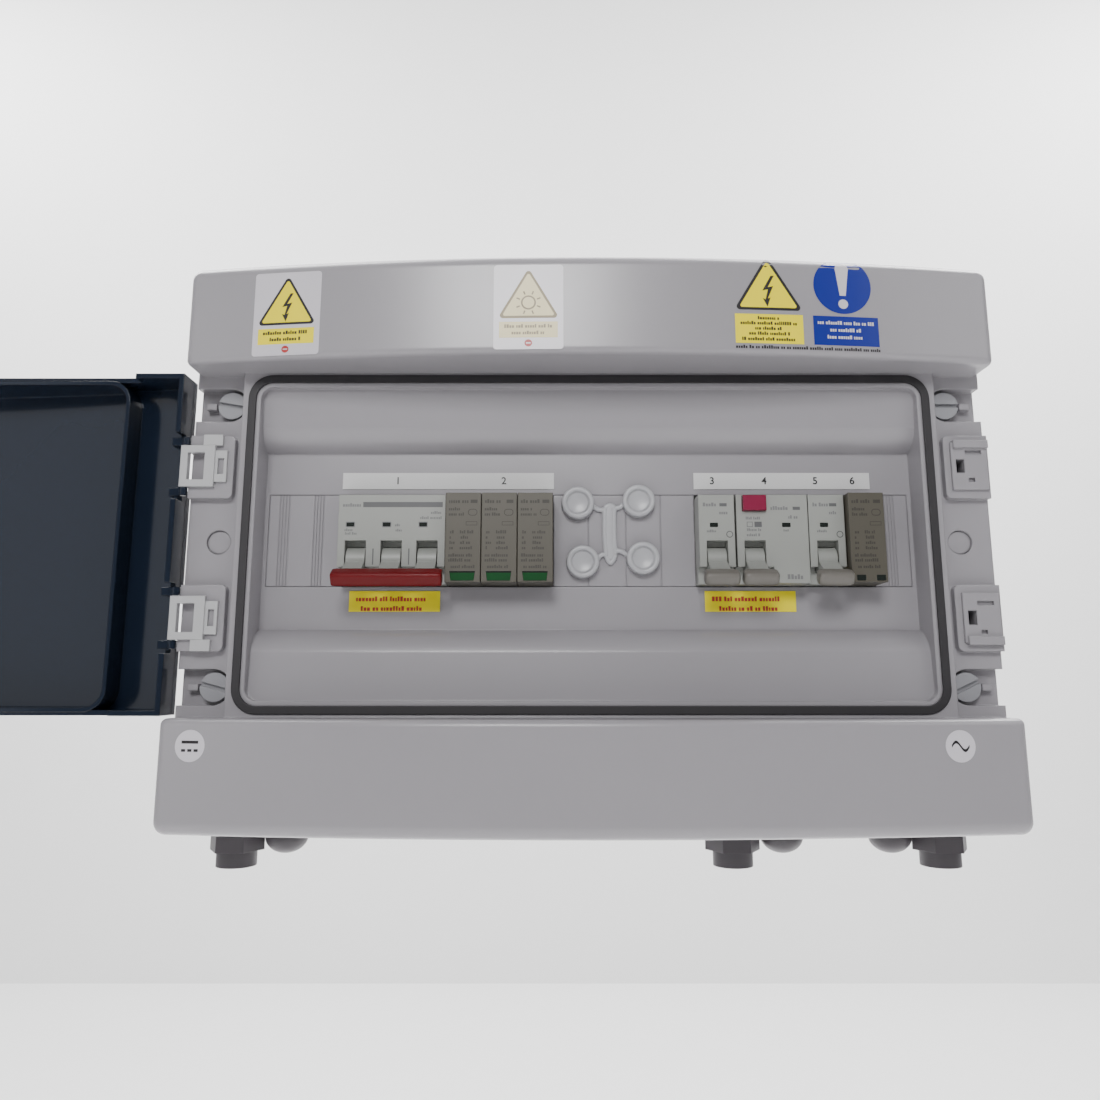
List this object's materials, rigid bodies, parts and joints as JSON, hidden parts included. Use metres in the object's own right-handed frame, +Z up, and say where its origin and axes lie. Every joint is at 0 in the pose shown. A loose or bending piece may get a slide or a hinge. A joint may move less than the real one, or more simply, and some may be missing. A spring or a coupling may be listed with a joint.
{
  "type": "solar combiner box",
  "caption": "Wall box for a small solar system: switch, surge arresters and breakers on a rail behind a smoked hinged door.",
  "frame": {"origin": "centre of the wall fixing hole pattern, on the back face of the rear shell", "axes": "+Z up, +Y into the wall, +X to the right seen from the front; the front faces -Y"},
  "size_m": [0.8002, 0.1379, 0.295],
  "materials": {
    "case_grey": "semi-gloss moulded ABS",
    "bracket_white": "semi-gloss nylon",
    "screw_grey": "glass-filled nylon",
    "smoke_door": "smoked polycarbonate",
    "seal_black": "extruded foam rubber",
    "rail_zinc": "zinc-plated steel",
    "screw_steel": "zinc-plated steel",
    "device_white": "satin thermoplastic",
    "handle_red": "gloss",
    "grip_taupe": "satin",
    "button_magenta": "gloss",
    "arrester_taupe": "satin thermoplastic",
    "holder_green": "matte",
    "terminal_brass": "machined",
    "gland_grey": "moulded nylon",
    "strip_white": "printed film",
    "label_yellow": "printed film",
    "label_white": "printed film"
  },
  "bodies": {
    "case": {"ac_arrester_base": "arrester_taupe", "ac_terminal_screws": "screw_steel", "bar_screws": "screw_steel", "blanking_plugs": "case_grey", "cover_seal": "seal_black", "dc_arrester_base": "arrester_taupe", "dc_switch_body": "device_white", "dc_terminal_screws": "screw_steel", "designation_strips": "strip_white", "din_rail": "rail_zinc", "door_seal": "seal_black", "earth_bar": "terminal_brass", "front_cover": "case_grey", "gland_seals": "seal_black", "hole_caps": "case_grey", "isolation_labels": "label_yellow", "left_blank": "case_grey", "left_gland_body": "gland_grey", "left_gland_cap": "gland_grey", "locknuts": "gland_grey", "lower_hinge_bracket": "bracket_white", "lower_latch_keeper": "case_grey", "middle_blank": "case_grey", "middle_gland_body": "gland_grey", "middle_gland_cap": "gland_grey", "neutral_bar": "terminal_brass", "output_breaker_body": "device_white", "rail_screws": "screw_steel", "rear_shell": "case_grey", "residual_switch_body": "device_white", "right_blank": "case_grey", "right_gland_body": "gland_grey", "right_gland_cap": "gland_grey", "screw_covers": "bracket_white", "second_breaker_body": "device_white", "side_labels": "label_white", "terminal_holder": "holder_green", "upper_hinge_bracket": "bracket_white", "upper_latch_keeper": "case_grey", "warning_labels": "label_white"},
    "door": {"door": "smoke_door", "hinge_pins": "bracket_white"},
    "dc_switch_handle": {"dc_switch_levers": "device_white", "dc_switch_tie_bar": "handle_red"},
    "output_breaker_toggle": {"output_breaker_lever": "device_white", "output_breaker_grip": "grip_taupe"},
    "residual_switch_toggle": {"residual_switch_lever": "device_white", "residual_switch_grip": "grip_taupe"},
    "second_breaker_toggle": {"second_breaker_lever": "device_white", "second_breaker_grip": "grip_taupe"},
    "test_button": {"test_button": "button_magenta"},
    "dc_cartridge_1": {"dc_cartridge_1": "arrester_taupe"},
    "dc_cartridge_2": {"dc_cartridge_2": "arrester_taupe"},
    "dc_cartridge_3": {"dc_cartridge_3": "arrester_taupe"},
    "ac_cartridge": {"ac_cartridge": "arrester_taupe"},
    "upper_left_screw": {"upper_left_cover_screw": "screw_grey"},
    "upper_right_screw": {"upper_right_cover_screw": "screw_grey"},
    "lower_left_screw": {"lower_left_cover_screw": "screw_grey"},
    "lower_right_screw": {"lower_right_cover_screw": "screw_grey"}
  },
  "joints": [
    {"name": "door_hinge", "type": "hinge", "parent": "case", "child": "door", "pos_m": [-0.2011, -0.1065, 0], "axis": [0, 0, 1], "range_deg": [0, 180]},
    {"name": "dc_switch_throw", "type": "hinge", "parent": "case", "child": "dc_switch_handle", "pos_m": [-0.0976, -0.0985, -0.0085], "axis": [-1, 0, 0], "range_deg": [0, 71]},
    {"name": "output_breaker_throw", "type": "hinge", "parent": "case", "child": "output_breaker_toggle", "pos_m": [0.0628, -0.0985, -0.0085], "axis": [-1, 0, 0], "range_deg": [0, 71]},
    {"name": "residual_switch_throw", "type": "hinge", "parent": "case", "child": "residual_switch_toggle", "pos_m": [0.0814, -0.0985, -0.0085], "axis": [-1, 0, 0], "range_deg": [0, 71]},
    {"name": "second_breaker_throw", "type": "hinge", "parent": "case", "child": "second_breaker_toggle", "pos_m": [0.1171, -0.0985, -0.0085], "axis": [-1, 0, 0], "range_deg": [0, 71]},
    {"name": "test_button_press", "type": "slide", "parent": "case", "child": "test_button", "axis": [0, 1, 0], "range_m": [0, 0.0015], "stiffness_N_per_m": 600},
    {"name": "dc_cartridge_1_pull", "type": "slide", "parent": "case", "child": "dc_cartridge_1", "axis": [0, -1, 0], "range_m": [0, 0.015]},
    {"name": "dc_cartridge_2_pull", "type": "slide", "parent": "case", "child": "dc_cartridge_2", "axis": [0, -1, 0], "range_m": [0, 0.015]},
    {"name": "dc_cartridge_3_pull", "type": "slide", "parent": "case", "child": "dc_cartridge_3", "axis": [0, -1, 0], "range_m": [0, 0.015]},
    {"name": "ac_cartridge_pull", "type": "slide", "parent": "case", "child": "ac_cartridge", "axis": [0, -1, 0], "range_m": [0, 0.015]},
    {"name": "upper_left_screw_turn", "type": "hinge", "parent": "case", "child": "upper_left_screw", "pos_m": [-0.1815, -0.098, 0.0705], "axis": [0, -1, 0], "range_deg": [0, 90]},
    {"name": "lower_left_screw_turn", "type": "hinge", "parent": "case", "child": "lower_left_screw", "pos_m": [-0.1815, -0.098, -0.0705], "axis": [0, -1, 0], "range_deg": [0, 90]},
    {"name": "upper_right_screw_turn", "type": "hinge", "parent": "case", "child": "upper_right_screw", "pos_m": [0.1815, -0.098, 0.0705], "axis": [0, -1, 0], "range_deg": [0, 90]},
    {"name": "lower_right_screw_turn", "type": "hinge", "parent": "case", "child": "lower_right_screw", "pos_m": [0.1815, -0.098, -0.0705], "axis": [0, -1, 0], "range_deg": [0, 90]}
  ]
}
